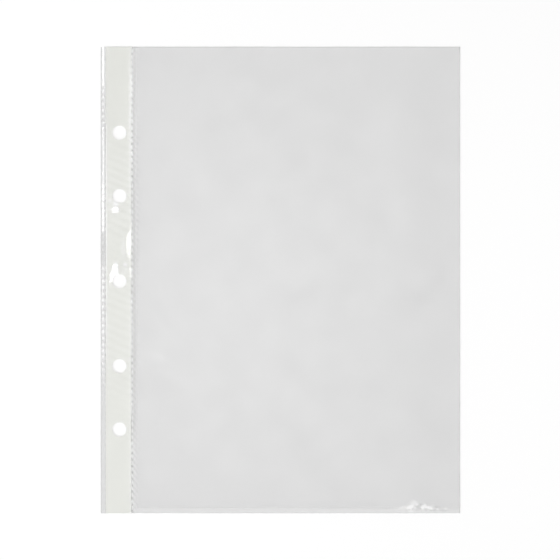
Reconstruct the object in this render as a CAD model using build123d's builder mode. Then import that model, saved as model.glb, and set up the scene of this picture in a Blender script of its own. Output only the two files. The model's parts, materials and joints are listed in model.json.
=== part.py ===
"""A5 sheet protector: a folded film pocket with a welded and punched binding margin.

It lies flat with its front film upwards, its open mouth towards +Y and its binding margin
at -X. The origin is the middle of the flat underside. All sizes are in millimetres.
"""

import os
from math import hypot

from build123d import *

os.makedirs("parts", exist_ok=True)

# Overall size
overall_width = 169.2  # binding edge to folded side
overall_height = 219.6  # welded bottom to open mouth

# Layers
film_thickness = 0.10
strip_thickness = 0.18  # also the room left between the two films of the empty pocket

# Binding margin, from the binding edge towards the pocket
edge_seam_width = 2.4
strip_width = 12.1
pocket_seam_width = 2.4
strip_side_clearance = 0.08  # the strip lies loose in its welded sleeve

# Punched holes: a two-ring pair and a three-ring row share one line
hole_diameter = 6.4
hole_from_edge = 8.8
two_ring_spacing = 80.0
three_ring_pitch = 69.85
hole_row_shift = -0.5  # the row's middle, from the middle of the height

# Knurled welds: slanted strokes fuse the films, which stay puffed up between them
knurl_pitch = 3.03
knurl_stroke = 0.95
knurl_slant = 1.5
knurl_puff = 0.12
seam_slope = 0.45  # width over which a film comes down to its weld

# Bottom weld, a thin fused land that ends in a round bead where it was cut off hot
bottom_weld_width = 2.6
bottom_slope = 1.3

# Room to move
hinge_clearance = 0.03  # film edges that swing past the pocket seam's corners
front_film_clearance = 0.1  # front film to the side fold and to the bottom weld

# Levels and lines that follow from the sizes above
stack = 2 * film_thickness + strip_thickness
fused = 2 * film_thickness
left = -overall_width / 2
right = overall_width / 2
bottom = -overall_height / 2
top = overall_height / 2
strip_left = left + edge_seam_width
strip_right = strip_left + strip_width
strip_middle = strip_left + strip_width / 2
seam_middle = strip_right + pocket_seam_width / 2
pocket_left = seam_middle + hypot(pocket_seam_width / 2, stack / 2) + hinge_clearance
fold_radius = stack / 2
fold_middle = right - fold_radius
weld_top = bottom + bottom_weld_width
bead_radius = stack / 2

hole_heights = (-three_ring_pitch, -two_ring_spacing / 2, 0, two_ring_spacing / 2, three_ring_pitch)
hole_offset = left + hole_from_edge - strip_middle
hole_centres = [(hole_offset, hole_row_shift + height) for height in hole_heights]

puff_length = knurl_pitch - knurl_stroke
knurl_count = int((overall_height - puff_length - knurl_slant) / knurl_pitch) + 1


def punched_sheet(width):
    """A full-height piece of the margin with its row of holes, in the current sketch."""
    Rectangle(width, overall_height)
    with Locations(*hole_centres):
        Circle(hole_diameter / 2, mode=Mode.SUBTRACT)


def welded_fork(land, slope):
    """Two films that run side by side and fuse into a land, which ends at u = 0."""
    end = land + slope
    Polygon(
        (0, 0),
        (end, 0),
        (end, film_thickness),
        (land, film_thickness),
        (end, stack - film_thickness),
        (end, stack),
        (land, fused),
        (0, fused),
        align=None,
    )


def knurl(land):
    """The row of slanted puffs between the strokes of a weld, in the current sketch."""
    half_land = land / 2
    half_puff = puff_length / 2
    half_slant = knurl_slant / 2
    with GridLocations(0, knurl_pitch, 1, knurl_count):
        Polygon(
            (-half_land, half_slant - half_puff),
            (half_land, -half_slant - half_puff),
            (half_land, -half_slant + half_puff),
            (-half_land, half_slant + half_puff),
            align=None,
        )


# Strip that reinforces the holes, loose between the margin's two films
with BuildPart() as reinforcing_strip:
    with BuildSketch(Plane((strip_middle, 0, film_thickness))):
        punched_sheet(strip_width - 2 * strip_side_clearance)
    extrude(amount=strip_thickness)

# Film under the strip
with BuildPart() as margin_back_film:
    with BuildSketch(Plane((strip_middle, 0, 0))):
        punched_sheet(strip_width)
    extrude(amount=film_thickness)

# Film over the strip
with BuildPart() as margin_front_film:
    with BuildSketch(Plane((strip_middle, 0, stack - film_thickness))):
        punched_sheet(strip_width)
    extrude(amount=film_thickness)

# Knurled weld along the binding edge
edge_land = edge_seam_width - seam_slope
with BuildPart() as edge_seam:
    with BuildSketch(Plane((left, 0, 0), x_dir=(1, 0, 0), z_dir=(0, -1, 0))):
        welded_fork(edge_land, seam_slope)
    extrude(amount=overall_height / 2, both=True)
    with BuildSketch(Plane((left + edge_land / 2, 0, fused))):
        knurl(edge_land)
    extrude(amount=knurl_puff)

# Knurled weld between the strip's sleeve and the pocket, forked on both sides
pocket_land = pocket_seam_width - 2 * seam_slope
with BuildPart() as pocket_seam:
    with BuildSketch(Plane((seam_middle, 0, 0), x_dir=(1, 0, 0), z_dir=(0, -1, 0))):
        welded_fork(pocket_land / 2, seam_slope)
        mirror(about=Plane.YZ)
    extrude(amount=overall_height / 2, both=True)
    with BuildSketch(Plane((seam_middle, 0, fused))):
        knurl(pocket_land)
    extrude(amount=knurl_puff)

# Back of the pocket
with BuildPart() as back_film:
    with BuildSketch(Plane((pocket_left, weld_top, 0))):
        Rectangle(fold_middle - pocket_left, top - weld_top, align=Align.MIN)
    extrude(amount=film_thickness)

# Front of the pocket, open along its top edge
with BuildPart() as front_film:
    with BuildSketch(Plane((pocket_left, weld_top + front_film_clearance, stack - film_thickness))):
        Rectangle(
            fold_middle - front_film_clearance - pocket_left,
            top - weld_top - front_film_clearance,
            align=Align.MIN,
        )
    extrude(amount=film_thickness)

# Fold where the back film turns over into the front film
with BuildPart() as side_fold:
    with BuildSketch(Plane((fold_middle, weld_top, fold_radius), x_dir=(1, 0, 0), z_dir=(0, -1, 0))):
        Circle(fold_radius)
        Circle(fold_radius - film_thickness, mode=Mode.SUBTRACT)
        Rectangle(fold_radius, stack, align=(Align.MAX, Align.CENTER), mode=Mode.SUBTRACT)
    extrude(amount=weld_top - top)

# Weld that closes the bottom of the pocket
with BuildPart() as bottom_weld:
    with BuildSketch(Plane((pocket_left, bottom, 0), x_dir=(0, 1, 0), z_dir=(1, 0, 0))):
        with Locations((bead_radius, bead_radius)):
            Circle(bead_radius)
    extrude(amount=right - pocket_left)
    with BuildSketch(Plane((pocket_left, bottom + bead_radius, 0), x_dir=(0, 1, 0), z_dir=(1, 0, 0))):
        welded_fork(bottom_weld_width - bottom_slope - bead_radius, bottom_slope)
    extrude(amount=right - pocket_left)

pieces = {
    "reinforcing_strip": reinforcing_strip,
    "margin_back_film": margin_back_film,
    "margin_front_film": margin_front_film,
    "edge_seam": edge_seam,
    "pocket_seam": pocket_seam,
    "back_film": back_film,
    "front_film": front_film,
    "side_fold": side_fold,
    "bottom_weld": bottom_weld,
}
for name, piece in pieces.items():
    piece.part.label = name
    export_step(piece.part, f"parts/{name}.step")
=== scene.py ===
"""Looks of the A5 sheet protector: clear film, knurled welds and a cream strip on a white table.

Everything is in metres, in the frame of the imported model: +Y towards the open mouth, +X from
the binding margin towards the folded side, +Z out of the front film.
"""

import json
import math
from collections import namedtuple

import bpy
import numpy as np
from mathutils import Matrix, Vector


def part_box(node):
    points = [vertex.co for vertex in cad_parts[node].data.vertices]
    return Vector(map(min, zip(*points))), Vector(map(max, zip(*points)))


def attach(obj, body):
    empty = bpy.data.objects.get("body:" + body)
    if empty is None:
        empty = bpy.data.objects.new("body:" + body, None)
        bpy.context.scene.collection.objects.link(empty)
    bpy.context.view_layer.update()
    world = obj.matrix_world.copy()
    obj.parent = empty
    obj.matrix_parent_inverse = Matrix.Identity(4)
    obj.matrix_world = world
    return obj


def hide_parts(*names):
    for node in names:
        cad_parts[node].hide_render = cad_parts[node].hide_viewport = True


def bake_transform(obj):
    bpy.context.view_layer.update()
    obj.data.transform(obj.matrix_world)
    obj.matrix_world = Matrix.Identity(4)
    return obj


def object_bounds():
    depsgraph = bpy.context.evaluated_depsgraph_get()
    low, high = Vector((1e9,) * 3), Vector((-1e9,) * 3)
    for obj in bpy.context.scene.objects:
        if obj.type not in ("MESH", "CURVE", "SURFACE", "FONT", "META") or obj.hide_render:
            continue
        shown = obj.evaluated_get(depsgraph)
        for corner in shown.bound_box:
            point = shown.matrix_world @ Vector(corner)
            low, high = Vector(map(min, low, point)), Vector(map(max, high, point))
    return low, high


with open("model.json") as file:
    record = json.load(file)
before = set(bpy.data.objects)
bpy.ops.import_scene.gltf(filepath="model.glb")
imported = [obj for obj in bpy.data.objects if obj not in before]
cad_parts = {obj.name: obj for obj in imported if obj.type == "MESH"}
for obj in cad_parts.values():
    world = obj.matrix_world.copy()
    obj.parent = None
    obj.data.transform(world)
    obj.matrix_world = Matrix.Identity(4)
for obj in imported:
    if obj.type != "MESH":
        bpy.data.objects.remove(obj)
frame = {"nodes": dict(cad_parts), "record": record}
cad_low, cad_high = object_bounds()

MM = 0.001

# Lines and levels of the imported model
LEFT, BOTTOM = cad_low.x, cad_low.y
RIGHT, TOP, STACK = cad_high
SLEEVE_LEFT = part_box("margin_front_film")[0][0]
SLEEVE_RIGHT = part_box("margin_front_film")[1][0]
POCKET_LEFT, WELD_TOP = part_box("back_film")[0][:2]
FOLD_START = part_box("back_film")[1][0]
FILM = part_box("back_film")[1][2]
FUSED = 2 * FILM
MIDDLE = (POCKET_LEFT + FOLD_START) / 2

bores = [mount for mount in frame["record"]["mounts"] if mount["kind"] == "bore"]
HOLES = sorted((mount["pos_m"][1], mount["pos_m"][0]) for mount in bores)
HOLE_RADIUS = bores[0]["dims"]["r_mm"] * MM

# Camera straight above the pocket
FRAME_WIDTH = 263.5 * MM
FRAME_MIDDLE = (-0.2 * MM, 0.0)
LENS = 120
SENSOR = 36

# Knurled welds: slanted strokes that repeat along the weld
KNURL_PITCH = 3.03 * MM
KNURL_SLANT = 2.9 * MM
KNURL_PHASE = 0.785
EDGE_PUFF = 0.03 * MM
BEAD_PITCH = 2.98 * MM
BEAD_START = 2.4 * MM
POCKET_PUFF = 0.02 * MM

# Edge seam: level of its land, how far that climbs where it isn't pressed flat, depth of its groove
EDGE_LEVEL = 0.15 * MM
EDGE_CLIMB = 0.185 * MM
EDGE_GROOVE = 0.05 * MM

# Bead left by the hot cut along the bottom
CUT_BEAD = 0.14 * MM

# Waves of the loose front film: height and lengths along x and y in millimetres, start in radians.
# Its mean lift in millimetres, and how far from its held sides and from the bottom weld it takes to rise.
Wave = namedtuple("Wave", "height along_x along_y start")
SLACK_WAVES = (
    Wave(0.06, 15, 34, 0.6),
    Wave(0.05, 27, -19, 2.1),
    Wave(0.03, 9, 12, 4.0),
)
SLACK_LIFT = 0.18
SLACK_SIDES = 14 * MM
SLACK_FOOT = 16 * MM

# Puckers beside the pocket seam: their height, how far they reach, and how much they lean
GATHER_HEIGHT = 0.06 * MM
GATHER_REACH = 1.6 * MM
GATHER_LEAN = 0.8

# Ripples across the sleeve: height, lengths along y and x, and the length and size of their wander
RIPPLE_HEIGHT = 0.008 * MM
RIPPLE_ALONG = 0.62 * MM
RIPPLE_ACROSS = 1.4 * MM
RIPPLE_WANDER = 7 * MM
RIPPLE_SWING = 0.8

# Way over which marks on the sleeve fade out towards its two welds
SLEEVE_FADE = 3 * MM

# Painted glints are drawn white in squares of this size, too small to be seen one by one
FLECK = 0.05 * MM

# Painted shade along the cut edges and the fold, where light is led out of the film sideways: width of
# the darker line along them, and how strong it is on each side
EDGE_WIDTH = 0.45 * MM
EDGE_SHADE = {"top": 0.32, "right": 0.22, "left": 0.20, "bottom": 0.05}

# Painted shade on steep film, growing with the square of its slope
STEEP_SHADE = 1.5

# Haze of the films on the bottom weld, and a darker band just above it; painted shade that darkens the
# film towards the side fold;
# haze over the strip; and painted shade that darkens the part of the strip next to the open end
WELD_HAZE = 0.09
WELD_BAND_UP = 1.2 * MM
WELD_BAND_HALF = 1.5 * MM
FOLD_SIDE_SHADE = 0.14
FOLD_SIDE_SHADE_START = 50 * MM
FOLD_SIDE_SHADE_WIDTH = 22 * MM
STRIP_HAZE = 0.03
END_SHADE = 0.10
END_SHADE_START = 20 * MM
END_SHADE_WIDTH = 60 * MM

# Painted shade on the film beside the pocket seam: how far it reaches, and the stretch where it is
# strongest
SEAM_SHADE_REACH = 3.2 * MM
SEAM_SHADE_MIDDLE = 30 * MM
SEAM_SHADE_HALF = 34 * MM

# Painted highlights along the two sides of the sleeve: distance from its side, half width; the outer
# line's ends and fade, and the width of the lighter rims round the holes
INNER_BORDER = (0.6 * MM, 0.8 * MM)
OUTER_LINE = (0.28 * MM, 0.25 * MM)
OUTER_LINE_ENDS = (-50 * MM, 90 * MM)
OUTER_LINE_FADE = 30 * MM
RIM_WHITE_WIDTH = 0.35 * MM

# Lifted folds of film: middle, half length, half width and height in millimetres, turn in degrees
Ridge = namedtuple("Ridge", "x y along across turn height")
BOTTOM_WRINKLES = (
    Ridge(57.0, -106.9, 2.4, 0.9, -15, 0.02),
    Ridge(60.1, -107.3, 2.4, 0.9, -32, 0.04),
    Ridge(62.6, -105.6, 1.7, 1.2, -40, 0.03),
    Ridge(66.2, -107.5, 1.5, 0.85, -38, 0.04),
    Ridge(69.6, -107.6, 2.2, 0.8, -28, 0.04),
    Ridge(77.0, -107.9, 1.6, 0.7, -30, 0.02),
)
FILM_CREASES = (
    Ridge(10.6, -6.4, 9.0, 1.6, 22, 0.10),
    Ridge(-51.0, -21.4, 13.0, 2.4, -54, 0.06),
)

# Facets of the sleeve's film beside two holes, tilted so that they mirror a lamp.
# Sides in millimetres; each side fades out over a short way.
Facet = namedtuple("Facet", "left right low high")
FACETS = (
    Facet(-78.7, -76.1, 32.1, 34.2),
    Facet(-78.7, -76.2, 2.0, 7.4),
    Facet(-80.1, -77.6, -0.8, 3.6),
)
FACET_RISE = 0.197  # towards the pocket, up to the crest
FACET_DROP = 0.20  # beyond the crest
FACET_FALL = 0.08  # towards the open end
FACET_FADES = {"left": 0.3 * MM, "low": 0.4 * MM, "high": 0.8 * MM}

# Painted glints and painted shade on the film, written like the folds, with how strong they are in place
# of the height.
# The white marks are painted highlights where creased film mirrors a lamp; the dark ones are painted
# shade on and beside the creases.
WRINKLE_GLINTS = (
    Ridge(60.8, -107.0, 1.3, 0.6, 10, 2.2),
    Ridge(57.2, -107.1, 2.4, 0.7, 12, 0.42),
    Ridge(64.1, -105.8, 0.45, 0.4, 20, 1.6),
    Ridge(63.0, -104.7, 1.6, 1.1, -10, 0.55),
    Ridge(61.8, -106.2, 1.1, 0.5, 20, 0.90),
    Ridge(63.6, -107.5, 0.5, 0.35, 0, 0.50),
    Ridge(67.0, -106.95, 0.7, 0.6, 0, 2.0),
    Ridge(69.3, -106.9, 2.0, 0.6, -12, 1.1),
    Ridge(67.9, -105.9, 0.6, 0.45, -20, 0.70),
    Ridge(71.6, -106.1, 0.6, 0.4, 0, 0.45),
    Ridge(71.0, -107.5, 1.0, 0.45, -15, 0.85),
    Ridge(73.9, -107.7, 0.9, 0.4, 0, 0.55),
    Ridge(77.7, -107.7, 1.0, 0.4, 0, 0.50),
    Ridge(61.5, -108.8, 0.8, 0.8, 0, 0.50),
    Ridge(-56.5, -36.8, 6.0, 1.8, -26, 0.14),
    Ridge(-52.0, -45.0, 9.0, 2.0, -26, 0.08),
)
WRINKLE_SHADE = (
    Ridge(65.95, -105.9, 0.6, 0.6, 0, 1.0),
    Ridge(64.3, -106.6, 0.8, 0.6, 0, 0.8),
    Ridge(65.3, -107.5, 0.8, 0.6, 0, 0.8),
    Ridge(73.5, -106.7, 1.3, 0.4, 0, 0.6),
    Ridge(72.4, -108.2, 1.0, 0.6, 0, 1.0),
    Ridge(68.5, -108.2, 0.8, 0.5, 0, 0.9),
    Ridge(70.9, -108.4, 0.7, 0.4, 0, 0.8),
    Ridge(76.6, -108.4, 2.2, 0.5, 0, 0.8),
    Ridge(64.1, -108.4, 0.7, 0.5, 0, 0.6),
    Ridge(10.6, -6.4, 9.5, 1.7, 22, 0.11),
    Ridge(-51.0, -21.4, 13.0, 2.2, -54, 0.08),
    Ridge(75.5, 4.2, 3.0, 7.0, 0, 0.11),
    Ridge(65.5, -9.0, 4.5, 2.4, 50, 0.10),
)
SLEEVE_GLINTS = (
    Ridge(-73.1, 7.2, 0.6, 0.55, 0, 4.0),
    Ridge(-77.6, 35.9, 1.0, 1.3, 0, 1.3),
    Ridge(-80.1, 37.3, 0.7, 0.9, 0, 0.70),
    Ridge(-77.6, 33.1, 1.35, 0.7, 0, 2.6),
    Ridge(-77.2, 33.3, 1.2, 0.75, 80, 2.2),
    Ridge(-73.9, 14.9, 1.0, 4.0, 0, 0.30),
    Ridge(-77.5, 5.0, 2.2, 0.95, 90, 4.0),
    Ridge(-79.3, 1.6, 1.8, 0.7, 85, 2.4),
    Ridge(-73.6, 4.6, 2.2, 1.4, 90, 0.28),
)
# Painted shade and painted sheen of the sleeve's faint ripples: place along the seam in millimetres,
# strength
RIPPLE_SHADE_AND_SHEEN = (
    (-110.0, 0.0), (-60.0, 0.01), (-40.0, 0.04), (-5.0, 0.04), (5.0, 0.02), (18.0, 0.02), (25.0, 0.05),
    (45.0, 0.05), (60.0, 0.03), (90.0, 0.01), (110.0, 0.0),
)

# Roof of the sleeve's film: it rises slowly from the binding edge and falls steeply to the pocket seam.
# Each point has its place along the seam and the width of the steep side there, in millimetres,
# and the share of the full slope that it has.
ROOF_SLOPE = math.tan(math.radians(17.0))
ROOF_POINTS = (
    (-110.0, 0.20, 1.0), (-40.0, 0.20, 1.0), (-0.5, 0.25, 1.0), (0.5, 0.5, 1.0), (2.0, 0.9, 1.0),
    (4.0, 1.2, 1.0), (5.4, 1.45, 1.0), (6.7, 0.3, 0.5), (8.4, 0.3, 0.5), (10.2, 1.8, 0.86),
    (11.0, 2.4, 0.84), (12.0, 2.0, 0.88), (13.0, 2.5, 0.84), (14.6, 2.55, 0.88), (15.4, 2.55, 1.0),
    (20.4, 2.55, 1.0), (21.4, 2.1, 1.0), (22.4, 1.5, 1.0), (23.6, 0.8, 1.0), (25.4, 0.4, 1.0),
    (28.0, 0.25, 1.0), (60.0, 0.25, 1.0),
    (70.0, 0.35, 1.0), (82.0, 0.4, 1.0), (97.0, 0.3, 1.0), (101.0, 0.2, 1.0), (110.0, 0.2, 1.0),
)

# Painted sheen on the border of the sleeve beside the pocket seam: place along the seam in millimetres,
# strength
BORDER_SHEEN = (
    (-110.0, 0.15), (-20.0, 0.20), (5.0, 0.14), (25.0, 0.14), (47.0, 0.28), (60.0, 0.40), (70.0, 0.45),
    (85.0, 0.45), (94.0, 0.40), (100.0, 0.35), (103.0, 0.22), (110.0, 0.20),
)

# Land of the edge seam: place along it in millimetres, how flat it is pressed, how strong the painted
# glints on its beads are
EDGE_LAND = (
    (-110.0, 0.9, 0.0), (-60.0, 0.9, 0.0), (-48.0, 0.9, 0.30), (-30.0, 0.9, 1.0), (4.0, 0.9, 1.2),
    (7.6, 0.9, 0.22), (21.5, 0.9, 0.22), (23.5, 0.0, 0.9), (44.0, 0.0, 0.9), (46.0, 0.2, 0.1),
    (71.5, 0.2, 0.1), (73.5, 0.9, 0.95), (89.0, 0.9, 0.85), (93.0, 0.0, 0.2), (110.0, 0.0, 0.2),
)

# Dark core of the pocket seam: place along it in millimetres, middle across it from 0 to 1, density
SEAM_CORE = (
    (-110.0, 0.20, 0.09), (-80.0, 0.22, 0.09), (-62.0, 0.56, 0.12), (-19.0, 0.60, 0.16),
    (33.0, 0.42, 0.15), (54.0, 0.24, 0.13), (80.0, 0.35, 0.08), (92.0, 0.60, 0.06), (110.0, 0.70, 0.05),
)

# Ceiling: a soft glow overhead in one direction, dim round it and white at the horizon.
# Each level has its angle from the glow, as a share of a right angle.
GLOW_DIRECTION = (-0.038, -0.008, 0.9992)
SKY_LEVELS = (
    (0.0, 0.64), (0.03, 0.58), (0.055, 0.32), (0.085, 0.14), (0.13, 0.06), (0.59, 0.06), (0.96, 1.0),
)

# Table, a little below the pocket
FLOOR_REACH = 6.0
FLOOR_LEVEL = -0.05 * MM

# Lamps: middle, size along x and y, power in watts; all hang level and shine straight down
Lamp = namedtuple("Lamp", "name place width length power")
LAMPS = (
    Lamp("left_softbox", (-0.52, 0.188, 0.85), 0.18, 0.284, 1.99),
    Lamp("right_softbox", (0.42, 0.05, 0.85), 0.20, 0.60, 2.26),
    Lamp("far_softbox", (-2.2, -1.8, 3.0), 1.6, 1.6, 134),
)


def smooth(value):
    """Smooth step from 0 at 0 to 1 at 1."""
    value = np.clip(value, 0, 1)
    return value * value * (3 - 2 * value)


def bump(value, middle, half_width):
    """Round bump, 1 at its middle."""
    return np.exp(-((value - middle) / half_width) ** 2)


def lines(start, end, step):
    """Evenly spaced lines from start to end, about a step apart."""
    return np.linspace(start, end, max(2, round((end - start) / step) + 1))


def merged(*runs):
    """Several runs of lines as one, without the doubled ones."""
    together = np.sort(np.concatenate(runs))
    keep = np.append(True, np.diff(together) > 1e-7)
    return together[keep]


# Relief of the films

def ridges(x, y, rows):
    """Height of the lifted folds in a list."""
    total = np.zeros_like(x)
    for row in rows:
        turn = math.radians(row.turn)
        dx = x - row.x * MM
        dy = y - row.y * MM
        along = (dx * math.cos(turn) + dy * math.sin(turn)) / (row.along * MM)
        across = (dy * math.cos(turn) - dx * math.sin(turn)) / (row.across * MM)
        total += row.height * MM * np.exp(-along ** 2 - across ** 2)
    return total


def along_seam(y, table):
    """Values of a table of points along a seam."""
    places, *columns = np.array(table).T
    return [np.interp(y, places * MM, column) for column in columns]


def slack(x, y):
    """Broad waves of the loose front film, which lies down towards its three held sides."""
    held = smooth((x - POCKET_LEFT) / SLACK_SIDES) * smooth((FOLD_START - x) / SLACK_SIDES)
    held = held * smooth((y - WELD_TOP) / SLACK_FOOT)
    total = np.zeros_like(x)
    for wave in SLACK_WAVES:
        total += wave.height * np.sin(x / (wave.along_x * MM) + y / (wave.along_y * MM) + wave.start)
    return (total + SLACK_LIFT) * held * MM


def gather_rows(x, y):
    """1 on the small puckers beside the pocket seam, one for each stroke of the knurl, and 0 between."""
    beside = np.exp(-np.abs(x - POCKET_LEFT) / GATHER_REACH)
    turns = knurl_turns(1, y) + GATHER_LEAN * (x - POCKET_LEFT) / KNURL_PITCH
    return beside * (0.5 + 0.5 * np.cos(2 * math.pi * turns))


def front_top(x, y):
    """Upper face of the pocket's front film."""
    folds = ridges(x, y, BOTTOM_WRINKLES) + ridges(x, y, FILM_CREASES)
    return STACK + slack(x, y) + GATHER_HEIGHT * gather_rows(x, y) + folds


def front_underside(x, y):
    """Lower face of the pocket's front film."""
    return front_top(x, y) - FILM


def roof(x, y):
    """Film of the sleeve lifted off the strip, highest close to the pocket seam."""
    width, tilt = along_seam(y, ROOF_POINTS)
    steep = width * MM
    gentle_side = (x - SLEEVE_LEFT) / (SLEEVE_RIGHT - SLEEVE_LEFT - steep)
    return ROOF_SLOPE * tilt * np.minimum(SLEEVE_RIGHT - x, steep * np.clip(gentle_side, 0, 1))


def facets(x, y):
    """Height of the tilted facets."""
    total = np.zeros_like(x)
    for facet in FACETS:
        from_left = x - facet.left * MM
        from_low = y - facet.low * MM
        to_high = facet.high * MM - y
        inside = smooth(from_left / FACET_FADES["left"] + 1) * smooth(from_low / FACET_FADES["low"] + 1)
        inside = inside * smooth(to_high / FACET_FADES["high"] + 1)
        crest = FACET_RISE * (facet.right - facet.left) * MM
        climb = np.minimum(FACET_RISE * from_left, crest - FACET_DROP * (x - facet.right * MM))
        total = np.maximum(total, inside * np.maximum(climb + FACET_FALL * to_high, 0))
    return total


def ripple(x, y):
    """Slanted ripples across the sleeve, from -1 to 1."""
    wander = RIPPLE_SWING * np.sin(y / RIPPLE_WANDER)
    return np.sin(y / RIPPLE_ALONG + x / RIPPLE_ACROSS + wander)


def inside_sleeve(x, fade):
    """1 over the strip, falling to 0 at the welds on its two sides."""
    return smooth((x - SLEEVE_LEFT) / fade) * smooth((SLEEVE_RIGHT - x) / fade)


def margin_top(x, y):
    """Upper face of the film over the strip."""
    rippled = RIPPLE_HEIGHT * inside_sleeve(x, SLEEVE_FADE) * (1 + ripple(x, y))
    lifted = rippled + inside_sleeve(x, 0.5 * MM) * facets(x, y)
    return STACK + roof(x, y) + lifted


def margin_underside(x, y):
    """Lower face of the film over the strip."""
    return margin_top(x, y) - FILM


def knurl_turns(u, y):
    """Strokes counted along a weld; u runs across it from 0 to 1."""
    return (y + KNURL_SLANT * u) / KNURL_PITCH + KNURL_PHASE


def knurl_stroke(u, y):
    """1 in the middle of a weld stroke and 0 between strokes."""
    return smooth((np.cos(2 * math.pi * knurl_turns(u, y)) - 0.1) / 0.9)


def dots(u, y, row, half_width, half_length):
    """Row of round marks along a weld, one on each stroke."""
    turns = knurl_turns(row, y)
    along = (turns - np.round(turns)) * KNURL_PITCH
    return np.exp(-((u - row) / half_width) ** 2 - (along / half_length) ** 2)


def edge_seam_across(x):
    """Place across the edge seam, from 0 at the binding edge to 1 at the sleeve."""
    return (x - LEFT) / (SLEEVE_LEFT - LEFT)


def edge_beads(y):
    """1 on the beads of the edge seam and 0 between them."""
    return 0.5 + 0.5 * np.cos(2 * math.pi * (y - BEAD_START) / BEAD_PITCH)


def edge_seam_top(x, y):
    """Upper face of the knurled weld along the binding edge: a sloping, beaded land, then a groove."""
    u = edge_seam_across(x)
    flat = along_seam(y, EDGE_LAND)[0]
    climb = EDGE_CLIMB * (1 - flat)
    land = EDGE_LEVEL + climb * np.clip((u - 0.30) / 0.40, 0, 1)
    groove = -EDGE_GROOVE * bump(u, 0.88, 0.08)
    rise = (STACK - EDGE_LEVEL - climb) * smooth((u - 0.88) / 0.12)
    across = smooth((u - 0.20) / 0.1) * smooth((0.98 - u) / 0.2)
    return land + groove + rise + EDGE_PUFF * across * edge_beads(y)


def pocket_seam_across(x):
    """Place across the pocket seam, from 0 at the sleeve to 1 at the pocket."""
    return (x - SLEEVE_RIGHT) / (POCKET_LEFT - SLEEVE_RIGHT)


def pocket_seam_top(x, y):
    """Upper face of the knurled weld between the strip's sleeve and the pocket."""
    u = pocket_seam_across(x)
    level = FUSED + (STACK - FUSED) * (smooth(1 - u / 0.1) + smooth((u - 0.9) / 0.1))
    puff = POCKET_PUFF * np.sin(math.pi * np.clip(u, 0, 1)) ** 1.5
    beside = smooth((u - 0.9) / 0.1) * GATHER_HEIGHT * gather_rows(x, y)
    return level + puff * (1 - knurl_stroke(u, y)) + beside


def bottom_weld_top(x, y):
    """Upper face of the bottom weld: a round bead at the cut, a thin land, then up to the film."""
    v = (y - BOTTOM) / (WELD_TOP - BOTTOM)
    rise = smooth((v - 0.35) / 0.65)
    bead = CUT_BEAD * bump(v, 0.09, 0.09)
    end = smooth(v / 0.06)
    return 0.5 * FUSED + 0.5 * FUSED * end + bead + rise * (front_top(x, y) - FUSED)


def table_level(x, y):
    """Lower face of whatever lies on the table."""
    return np.zeros_like(x)


def back_top(x, y):
    """Upper face of the pocket's back film."""
    return np.full_like(x, FILM)


# Haze and painted shade of the films: how much of the light they scatter, from 0 to 1. Most of it is
# painted shade; the welds and the strip's cover also have haze of their own.

def painted_edge_shade(x, y):
    """Painted shade along the cut edges and the fold, where light is led out of the film sideways."""
    fainter_over_strip = 0.06 * np.maximum(SLEEVE_RIGHT - x, 0)
    distances = {
        "top": TOP - y + fainter_over_strip,
        "right": RIGHT - x,
        "left": x - LEFT,
        "bottom": y - BOTTOM,
    }
    total = np.zeros_like(x)
    for side, distance in distances.items():
        total = np.maximum(total, EDGE_SHADE[side] * bump(distance, 0, EDGE_WIDTH))
    return total


def steepness(top, x, y):
    """Square of the slope of an upper face."""
    reach = 0.1 * MM
    along_x = (top(x + reach, y) - top(x - reach, y)) / (2 * reach)
    along_y = (top(x, y + reach) - top(x, y - reach)) / (2 * reach)
    return along_x ** 2 + along_y ** 2


def seam_shade(x, y):
    """Painted shade on the film beside the pocket seam, where the knurl draws it in, strongest next to
    the upper holes.
    """
    beside = np.exp(-np.maximum(x - POCKET_LEFT, 0) / SEAM_SHADE_REACH)
    tight = 0.5 + 0.5 * np.exp(-((y - SEAM_SHADE_MIDDLE) / SEAM_SHADE_HALF) ** 4)
    return beside * tight


def front_haze_and_shade(x, y):
    """Front film: painted shade along its edges, a darker band above the bottom weld, and painted shade
    towards the bent side, beside the pocket seam and on its gathers, and on steep and wrinkled film.
    """
    # Painted shade towards the side fold, beside the pocket seam and its gathers, and on steep and
    # wrinkled film
    shade_towards_fold = FOLD_SIDE_SHADE * smooth((x - FOLD_SIDE_SHADE_START) / FOLD_SIDE_SHADE_WIDTH)
    weld_band = WELD_HAZE * bump(y, WELD_TOP + WELD_BAND_UP, WELD_BAND_HALF)
    gather_shade = seam_shade(x, y) * (0.18 + 0.65 * gather_rows(x, y))
    shaded_wrinkles = STEEP_SHADE * steepness(front_top, x, y) + ridges(x, y, WRINKLE_SHADE) / MM
    return np.clip(painted_edge_shade(x, y) + weld_band + shade_towards_fold + gather_shade + shaded_wrinkles, 0, 1)


def bottom_haze_and_shade(x, y):
    """Bottom weld: its own haze, painted shade along its edges, and painted shade at the ends of the
    wrinkles above it.
    """
    # Painted shade on steep film and on the wrinkles
    shaded_wrinkles = 0.25 * STEEP_SHADE * steepness(front_top, x, y)
    shaded_wrinkles = shaded_wrinkles + 0.16 * ridges(x, y, WRINKLE_SHADE) / MM
    return np.clip(painted_edge_shade(x, y) + WELD_HAZE + shaded_wrinkles, 0, 1)


def sleeve_haze_and_shade(x, y):
    """Film over the strip: painted shade of faint ripples, its own haze, and painted shade that darkens
    it towards the open end.
    """
    inside = inside_sleeve(x, SLEEVE_FADE)
    shaded_end = END_SHADE * smooth((y - END_SHADE_START) / END_SHADE_WIDTH)
    rippled = along_seam(y, RIPPLE_SHADE_AND_SHEEN)[0] * (1 - ripple(x, y))
    return np.clip(painted_edge_shade(x, y) + shaded_end + STRIP_HAZE * inside + rippled, 0, 1)


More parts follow.
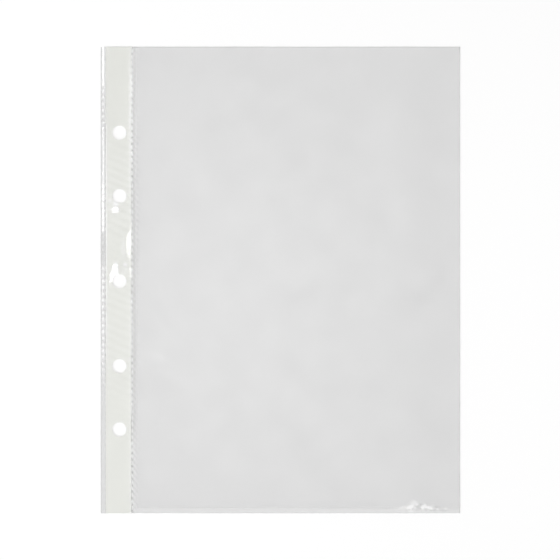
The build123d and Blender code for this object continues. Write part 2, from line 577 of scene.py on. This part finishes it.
def edge_seam_haze_and_shade(x, y):
    """Edge seam: dark dots and a line beside the sleeve, a darker stretch, and painted shade between the
    beads.
    """
    u = edge_seam_across(x)
    marks = 0.20 * dots(u, y, 0.93, 0.10, 0.9 * MM) * (1 - 0.7 * smooth((y - 85 * MM) / (8 * MM)))
    below_top = smooth((88 * MM - y) / (15 * MM)) * smooth((y + 60 * MM) / (20 * MM))
    marks += 0.14 * below_top * bump(u, 0.95, 0.08)
    darker_stretch = 0.12 * np.exp(-((y - 15 * MM) / (8 * MM)) ** 4)
    beads = along_seam(y, EDGE_LAND)[1]
    # Painted shade between the beads' painted glints
    shade_between_beads = 0.12 * beads * (1 - edge_beads(y)) ** 2 * bump(u, 0.5, 0.25)
    return np.clip(painted_edge_shade(x, y) + 0.14 + darker_stretch + marks + shade_between_beads, 0, 1)


def pocket_seam_haze_and_shade(x, y):
    """Pocket seam: a dark core that wanders across it, strokes, and teeth along the strip."""
    u = pocket_seam_across(x)
    middle, strength = along_seam(y, SEAM_CORE)
    core = strength * bump(u, middle, 0.25)
    weight = 0.03 + 0.02 * smooth((-20 * MM - y) / (40 * MM))
    strokes = weight * knurl_stroke(u, y) + 0.27 * dots(u, y, 0.15, 0.16, 0.70 * MM)
    strokes += 0.06 * dots(u, y, 0.62, 0.15, 0.7 * MM)
    body = 0.17 - 0.07 * smooth((-66 * MM - y) / (14 * MM))
    body = body * smooth((u - 0.04) / 0.3) * (1 - 0.5 * smooth((u - 0.75) / 0.2))
    return np.clip(painted_edge_shade(x, y) + body + core + strokes, 0, 1)


# Painted glints: white drawn over the film, from 0 to 1

def clean(x, y):
    """No painted glints."""
    return np.zeros_like(x)


def painted_wrinkle_glints(x, y):
    """Painted glints on the wrinkles of the front film and of the bottom weld."""
    return np.clip(ridges(x, y, WRINKLE_GLINTS) / MM, 0, 1)


def punched_rims(x, y):
    """1 on the rims of the punched holes, falling to 0 beside them."""
    total = np.zeros_like(x)
    for up, across in HOLES:
        away = np.hypot(x - across, y - up) - HOLE_RADIUS
        total = np.maximum(total, bump(away, 0, RIM_WHITE_WIDTH))
    return total


def sleeve_glints_and_rims(x, y):
    """Film over the strip: painted sheen along its two borders and faint ripples, painted glints on a few
    creases, and lighter rims round the holes.
    """
    strength, = along_seam(y, BORDER_SHEEN)
    inset, half_width = INNER_BORDER
    border = bump(x, SLEEVE_RIGHT - inset, half_width)
    between = 1.2 - 0.7 * knurl_stroke(0, y)
    inset, half_width = OUTER_LINE
    low, high = OUTER_LINE_ENDS
    outer_line = 0.80 * bump(x, SLEEVE_LEFT + inset, half_width)
    outer_line = outer_line * smooth((y - low) / OUTER_LINE_FADE) * smooth((high - y) / OUTER_LINE_FADE)
    rippled = along_seam(y, RIPPLE_SHADE_AND_SHEEN)[0] * (1 + ripple(x, y))
    crease_glints = ridges(x, y, SLEEVE_GLINTS) / MM
    marked = outer_line + rippled + crease_glints + 0.35 * punched_rims(x, y)
    return np.clip(strength * border * between + marked, 0, 1)


def pocket_seam_glints(x, y):
    """Painted glints on the border of the pocket seam beside the strip, between its teeth."""
    u = pocket_seam_across(x)
    strength, = along_seam(y, BORDER_SHEEN)
    between = 2.4 * (1 - knurl_stroke(0.05, y)) ** 2
    return np.clip(strength * between * bump(u, 0, 0.2), 0, 1)


def edge_seam_glints(x, y):
    """Painted glints on the beads of the edge seam."""
    u = edge_seam_across(x)
    strength = along_seam(y, EDGE_LAND)[1]
    beaded = 0.45 + 0.75 * edge_beads(y) ** 2
    return np.clip(strength * beaded * bump(u, 0.46, 0.18), 0, 1)


# Nets of points and quads, and closed sheets made from them

def net(xs, ys):
    """Points and quads over two lists of lines."""
    across, up = np.meshgrid(xs, ys)
    points = np.column_stack([across.ravel(), up.ravel()])
    columns = len(xs)
    rows = np.arange(len(ys) - 1)[:, None] * columns
    first = (rows + np.arange(columns - 1)).ravel()
    quads = np.column_stack([first, first + 1, first + columns + 1, first + columns])
    return points, quads


def hole_net(xs, ys, centre, rings):
    """Net of the block round one hole: rings that go from its circle out to the block's sides."""
    low = np.column_stack([xs[:-1], np.full(len(xs) - 1, ys[0])])
    right = np.column_stack([np.full(len(ys) - 1, xs[-1]), ys[:-1]])
    high = np.column_stack([xs[:0:-1], np.full(len(xs) - 1, ys[-1])])
    left = np.column_stack([np.full(len(ys) - 1, xs[0]), ys[:0:-1]])
    outside = np.concatenate([low, right, high, left])
    ways = outside - centre
    circle = centre + HOLE_RADIUS * ways / np.linalg.norm(ways, axis=1)[:, None]
    shares = np.linspace(0, 1, rings + 1)[:, None, None]
    points = (circle + shares * (outside - circle)).reshape(-1, 2)
    around = len(outside)
    here = np.arange(around)
    after = (here + 1) % around
    quads = []
    for ring in range(rings):
        inner = ring * around
        outer = inner + around
        quads.append(np.column_stack([inner + here, outer + here, outer + after, inner + after]))
    return points, np.concatenate(quads)


def welded(nets):
    """Several nets as one, with the points that they share joined."""
    points = np.concatenate([points for points, quads in nets])
    starts = np.cumsum([0] + [len(points) for points, quads in nets[:-1]])
    quads = np.concatenate([quads + start for (points, quads), start in zip(nets, starts)])
    kept, places = np.unique(np.round(points, 8), axis=0, return_inverse=True)
    return kept, places.reshape(-1)[quads]


def punched_net(xs, step):
    """Net of a margin film: plain stretches between the blocks round its holes."""
    half_block = 6 * MM
    nets = []
    start = BOTTOM
    for up, across in HOLES:
        nets.append(net(xs, lines(start, up - half_block, step)))
        block = lines(up - half_block, up + half_block, step)
        nets.append(hole_net(xs, block, np.array([across, up]), 10))
        start = up + half_block
    nets.append(net(xs, lines(start, TOP, step)))
    return welded(nets)


def outer_edges(quads):
    """Edges of a net that only one quad has, in that quad's direction."""
    edges = np.concatenate([quads[:, [k, (k + 1) % 4]] for k in range(4)])
    span = quads.max() + 1
    keys = edges[:, 0] * span + edges[:, 1]
    twins = edges[:, 1] * span + edges[:, 0]
    return edges[~np.isin(twins, keys)]


def new_piece(name, corners, faces, material, marks):
    """A smooth mesh object with one material, and named marks of the film at each corner."""
    mesh = bpy.data.meshes.new(name)
    mesh.from_pydata(corners.tolist(), [], faces.tolist())
    mesh.polygons.foreach_set("use_smooth", np.ones(len(faces), dtype=bool))
    mesh.set_sharp_from_angle(angle=math.radians(60))
    for mark, strength in marks.items():
        values = mesh.attributes.new(mark, "FLOAT", "POINT")
        values.data.foreach_set("value", strength.astype(np.float32))
    mesh.materials.append(material)
    piece = bpy.data.objects.new(name, mesh)
    bpy.context.scene.collection.objects.link(piece)
    return piece


def closed_sheet(name, plan, top, underside, sheet_haze_and_shade, material, white=clean):
    """A thin closed sheet over a net, between an upper and a lower face."""
    points, quads = plan
    x, y = points.T
    count = len(points)
    corners = np.concatenate([
        np.column_stack([x, y, top(x, y)]),
        np.column_stack([x, y, underside(x, y)]),
    ])
    start, end = outer_edges(quads).T
    walls = np.column_stack([end, start, start + count, end + count])
    faces = np.concatenate([quads, quads[:, ::-1] + count, walls])
    marks = {"dense": np.tile(sheet_haze_and_shade(x, y), 2), "white": np.tile(white(x, y), 2)}
    return new_piece(name, corners, faces, material, marks)


# Materials

def new_material(name):
    """A material with an empty node tree, and that tree."""
    material = bpy.data.materials.new(name)
    material.use_nodes = True
    tree = material.node_tree
    tree.nodes.clear()
    return material, tree


def add(tree, kind, settings=None, **inputs):
    """A shader node with its settings, and its inputs set or linked by name."""
    made = tree.nodes.new("ShaderNode" + kind)
    for key, value in (settings or {}).items():
        setattr(made, key, value)
    for key, value in inputs.items():
        fill(tree, made.inputs[key.replace("_", " ")], value)
    return made


def fill(tree, socket, value):
    """Sets an input, or links it where the value is another node's output."""
    if isinstance(value, bpy.types.NodeSocket):
        tree.links.new(value, socket)
    else:
        socket.default_value = value


def maths(tree, operation, *values):
    """Output of a sum on numbers or other nodes' outputs."""
    made = tree.nodes.new("ShaderNodeMath")
    made.operation = operation
    for socket, value in zip(made.inputs, values):
        fill(tree, socket, value)
    return made.outputs[0]


def grain(tree, scale, detail, roughness=0.5):
    """Noise in the object's own coordinates."""
    place = tree.nodes.new("ShaderNodeTexCoord").outputs["Object"]
    return add(tree, "TexNoise", Vector=place, Scale=scale, Detail=detail, Roughness=roughness)


def flecks(tree):
    """Values spread evenly from 0 to 1 over tiny squares of film, the same through its thickness."""
    place = tree.nodes.new("ShaderNodeTexCoord").outputs["Object"]
    square = tree.nodes.new("ShaderNodeVectorMath")
    square.operation = "SNAP"
    fill(tree, square.inputs[0], place)
    fill(tree, square.inputs[1], (FLECK, FLECK, FLECK))
    noise = add(tree, "TexWhiteNoise", {"noise_dimensions": "2D"}, Vector=square.outputs[0])
    return noise.outputs["Value"]


def mix_shaders(tree, share, first, second):
    """The second shader over the first, by its share."""
    made = tree.nodes.new("ShaderNodeMixShader")
    fill(tree, made.inputs[0], share)
    tree.links.new(first.outputs[0], made.inputs[1])
    tree.links.new(second.outputs[0], made.inputs[2])
    return made


def film_material(name, haze_low, haze_high, haze_and_shade_gain):
    """Clear plastic film: straight-through light, a little haze, grey painted shade and white painted
    glints by its marks, and a gloss that grows at a slant.
    """
    material, tree = new_material(name)
    mottle = grain(tree, 50, 2).outputs[0]
    haze = add(
        tree, "MapRange", Value=mottle, From_Min=0.3, From_Max=0.7, To_Min=haze_low, To_Max=haze_high)
    # Haze, and painted shade by the film's marks, mix in a grey
    dense = add(tree, "Attribute", {"attribute_name": "dense"}).outputs["Fac"]
    share = maths(tree, "MULTIPLY_ADD", dense, haze_and_shade_gain, haze.outputs[0])
    clear = add(tree, "BsdfTransparent", Color=(0.984, 0.984, 0.984, 1))
    haze_and_shade_grey = add(tree, "BsdfPrincipled", Base_Color=(0.60, 0.60, 0.60, 1), Roughness=0.6)
    # Painted glints: white over the film where its mark beats the flecks, hidden from shadow and diffuse
    # rays
    path = tree.nodes.new("ShaderNodeLightPath").outputs
    let_through = maths(tree, "MAXIMUM", path["Is Shadow Ray"], path["Is Diffuse Ray"])
    white = add(tree, "Attribute", {"attribute_name": "white"}).outputs["Fac"]
    white = maths(tree, "GREATER_THAN", white, flecks(tree))
    white = maths(tree, "MULTIPLY", white, maths(tree, "SUBTRACT", 1.0, let_through))
    painted_glint = add(tree, "BsdfPrincipled", Base_Color=(0.99, 0.99, 0.99, 1), Roughness=0.5)
    body = mix_shaders(tree, white, mix_shaders(tree, share, clear, haze_and_shade_grey), painted_glint)
    gloss = add(tree, "BsdfGlossy", Color=(1, 1, 1, 1), Roughness=0.16)
    facing = add(tree, "LayerWeight", Blend=0.5).outputs["Facing"]
    mirrored = maths(tree, "MULTIPLY_ADD", maths(tree, "POWER", facing, 5.0), 0.96, 0.04)
    whole = mix_shaders(tree, mirrored, body, gloss)
    add(tree, "OutputMaterial", Surface=whole.outputs[0])
    return material


def strip_material():
    """Cream-white plastic strip with a fine calendered grain."""
    material, tree = new_material("cream strip")
    place = tree.nodes.new("ShaderNodeTexCoord").outputs["Object"]
    streaks = add(tree, "Mapping", Vector=place, Scale=(900, 60, 900))
    fibre = add(tree, "TexNoise", Vector=streaks.outputs[0], Scale=1.0, Detail=3.0)
    cloud = grain(tree, 90, 3).outputs[0]
    tone = maths(tree, "MULTIPLY_ADD", fibre.outputs[0], 0.5, maths(tree, "MULTIPLY", cloud, 0.5))
    ramp = add(tree, "ValToRGB", Fac=tone)
    ramp.color_ramp.elements[0].position = 0.3
    ramp.color_ramp.elements[0].color = (0.964, 0.972, 0.926, 1)
    ramp.color_ramp.elements[1].position = 0.7
    ramp.color_ramp.elements[1].color = (0.981, 0.989, 0.943, 1)
    fine_relief = add(tree, "Bump", Strength=0.1, Distance=0.00005, Height=fibre.outputs[0])
    paint = add(
        tree, "BsdfPrincipled", Base_Color=ramp.outputs[0], Roughness=0.5, Normal=fine_relief.outputs[0])
    add(tree, "OutputMaterial", Surface=paint.outputs[0])
    return material


def floor_material():
    """White table that keeps shadows; what the camera or a reflection sees of it gets a little lift."""
    material, tree = new_material("white table")
    path = tree.nodes.new("ShaderNodeLightPath").outputs
    seen = maths(tree, "MAXIMUM", path["Is Camera Ray"], path["Is Glossy Ray"])
    seen = maths(tree, "MAXIMUM", seen, path["Is Transmission Ray"])
    plain = add(tree, "BsdfDiffuse", Color=(0.88, 0.88, 0.88, 1))
    lift = add(tree, "Emission", Color=(1, 1, 1, 1), Strength=maths(tree, "MULTIPLY", seen, 0.165))
    both = tree.nodes.new("ShaderNodeAddShader")
    tree.links.new(plain.outputs[0], both.inputs[0])
    tree.links.new(lift.outputs[0], both.inputs[1])
    add(tree, "OutputMaterial", Surface=both.outputs[0])
    return material


film = film_material("clear film", 0.008, 0.016, 0.10)
weld = film_material("welded film", 0.045, 0.055, 0.45)
# The fold's film is hazier, as painted shade along the fold
bent = film_material("bent film", 0.10, 0.14, 0.0)
strip = strip_material()

# Pocket: the net is fine near its edges and in the wrinkled corner, and coarse elsewhere
COARSE_STEP = 2.4 * MM
RIM_WIDTH = 1.2 * MM
WRINKLES_FROM = 54 * MM
MOUTH_LINES = TOP - np.array([0.9, 0.6, 0.4, 0.25, 0.1, 0]) * MM
FOLD_LINES = FOLD_START - np.array([0.9, 0.6, 0.4, 0.2, 0]) * MM
film_rows = merged(lines(WELD_TOP, TOP - RIM_WIDTH, 0.6 * MM), MOUTH_LINES)
few_rows = merged(
    lines(WELD_TOP, WELD_TOP + 5 * MM, 0.25 * MM),
    lines(WELD_TOP + 5 * MM, TOP - RIM_WIDTH, COARSE_STEP),
    MOUTH_LINES,
)
left_columns = merged(
    lines(POCKET_LEFT, POCKET_LEFT + 8 * MM, 0.4 * MM),
    lines(POCKET_LEFT + 8 * MM, POCKET_LEFT + 28 * MM, 1.0 * MM),
    lines(POCKET_LEFT + 28 * MM, MIDDLE, COARSE_STEP),
)
right_columns = merged(
    lines(MIDDLE, WRINKLES_FROM, COARSE_STEP),
    lines(WRINKLES_FROM, FOLD_START - RIM_WIDTH, 0.3 * MM),
    FOLD_LINES,
)
back_columns = merged(lines(POCKET_LEFT, FOLD_START - RIM_WIDTH, COARSE_STEP), FOLD_LINES)

front_left = closed_sheet(
    "front_film_binding_half", net(left_columns, film_rows),
    front_top, front_underside, front_haze_and_shade, film, painted_wrinkle_glints)
front_right = closed_sheet(
    "front_film_folded_half", net(right_columns, few_rows),
    front_top, front_underside, front_haze_and_shade, film, painted_wrinkle_glints)
back = closed_sheet(
    "pocket_back", net(back_columns, few_rows), back_top, table_level, painted_edge_shade, film)
for half, outer_edge in ((front_left, POCKET_LEFT), (front_right, FOLD_START)):
    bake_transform(half)
    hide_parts("front_film")
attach(back, "pocket")
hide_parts("back_film")

weld_rows = merged(
    BOTTOM + np.array([0, 0.05, 0.12, 0.2, 0.3, 0.42]) * MM,
    lines(BOTTOM + 0.6 * MM, WELD_TOP, 0.25 * MM),
)
weld_columns = merged(
    lines(POCKET_LEFT, WRINKLES_FROM, 1.2 * MM),
    lines(WRINKLES_FROM, RIGHT - 0.6 * MM, 0.3 * MM),
    lines(RIGHT - 0.6 * MM, RIGHT, 0.15 * MM),
)
bottom = closed_sheet(
    "bottom_seam", net(weld_columns, weld_rows),
    bottom_weld_top, table_level, bottom_haze_and_shade, weld, painted_wrinkle_glints)
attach(bottom, "pocket")
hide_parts("bottom_weld")

# Binding margin
margin_columns = merged(
    lines(SLEEVE_LEFT, SLEEVE_LEFT + 0.8 * MM, 0.1 * MM),
    lines(SLEEVE_LEFT + 0.8 * MM, SLEEVE_RIGHT - 2.4 * MM, 0.4 * MM),
    lines(SLEEVE_RIGHT - 2.4 * MM, SLEEVE_RIGHT - 0.6 * MM, 0.2 * MM),
    lines(SLEEVE_RIGHT - 0.6 * MM, SLEEVE_RIGHT, 0.1 * MM),
)
sleeve = closed_sheet(
    "sleeve_front", punched_net(margin_columns, 0.4 * MM),
    margin_top, margin_underside, sleeve_haze_and_shade, film, sleeve_glints_and_rims)
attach(sleeve, "binding_margin")
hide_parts("margin_front_film")

seam_rows = lines(BOTTOM, TOP, 0.25 * MM)
edge_weld = closed_sheet(
    "edge_knurl", net(lines(LEFT, SLEEVE_LEFT, 0.15 * MM), seam_rows),
    edge_seam_top, table_level, edge_seam_haze_and_shade, weld, edge_seam_glints)
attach(edge_weld, "binding_margin")
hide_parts("edge_seam")

pocket_weld = closed_sheet(
    "pocket_knurl", net(lines(SLEEVE_RIGHT, POCKET_LEFT, 0.15 * MM), seam_rows),
    pocket_seam_top, table_level, pocket_seam_haze_and_shade, weld, pocket_seam_glints)
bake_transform(pocket_weld)
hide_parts("pocket_seam")

for name, material in (("margin_back_film", film), ("side_fold", bent), ("reinforcing_strip", strip)):
    node = frame["nodes"][name]
    node.data.materials.clear()
    node.data.materials.append(material)

# Stage

def add_floor():
    """A large white table under the pocket."""
    sides = ((-1, -1), (1, -1), (1, 1), (-1, 1))
    corners = [(FLOOR_REACH * across, FLOOR_REACH * up, FLOOR_LEVEL) for across, up in sides]
    mesh = bpy.data.meshes.new("floor")
    mesh.from_pydata(corners, [], [(0, 1, 2, 3)])
    mesh.materials.append(floor_material())
    made = bpy.data.objects.new("floor", mesh)
    bpy.context.scene.collection.objects.link(made)
    return made


def add_lamp(lamp):
    """A rectangular softbox."""
    data = bpy.data.lights.new(lamp.name, "AREA")
    data.shape = "RECTANGLE"
    data.size = lamp.width
    data.size_y = lamp.length
    data.energy = lamp.power
    softbox = bpy.data.objects.new(lamp.name, data)
    softbox.location = lamp.place
    bpy.context.scene.collection.objects.link(softbox)


def add_sky():
    """Ceiling and walls of the studio, by the angle from the glow overhead."""
    world = bpy.data.worlds.new("studio")
    bpy.context.scene.world = world
    world.use_nodes = True
    tree = world.node_tree
    tree.nodes.clear()
    direction = tree.nodes.new("ShaderNodeTexCoord").outputs["Generated"]
    glow = add(tree, "VectorMath", {"operation": "DOT_PRODUCT"})
    fill(tree, glow.inputs[0], direction)
    fill(tree, glow.inputs[1], GLOW_DIRECTION)
    angle = maths(tree, "DIVIDE", maths(tree, "ARCCOSINE", glow.outputs["Value"]), math.pi / 2)
    levels = add(tree, "ValToRGB", Fac=angle)
    ramp = levels.color_ramp
    for place, level in SKY_LEVELS:
        stop = ramp.elements[0] if place == 0 else ramp.elements.new(place)
        stop.position = place
        stop.color = (level, level, level, 1)
    ramp.elements.remove(ramp.elements[-1])
    sky = add(tree, "Background", Color=levels.outputs[0], Strength=1.0)
    add(tree, "OutputWorld", Surface=sky.outputs[0])


def add_camera():
    """A camera that looks straight down on the pocket."""
    data = bpy.data.cameras.new("camera")
    data.lens = LENS
    data.sensor_width = SENSOR
    camera = bpy.data.objects.new("camera", data)
    camera.location = (*FRAME_MIDDLE, STACK + FRAME_WIDTH * LENS / SENSOR)
    bpy.context.scene.collection.objects.link(camera)
    bpy.context.scene.camera = camera


floor = add_floor()
for lamp in LAMPS:
    add_lamp(lamp)
add_sky()
add_camera()
bpy.context.scene.view_settings.view_transform = "Standard"
bpy.context.scene.cycles.transparent_max_bounces = 32
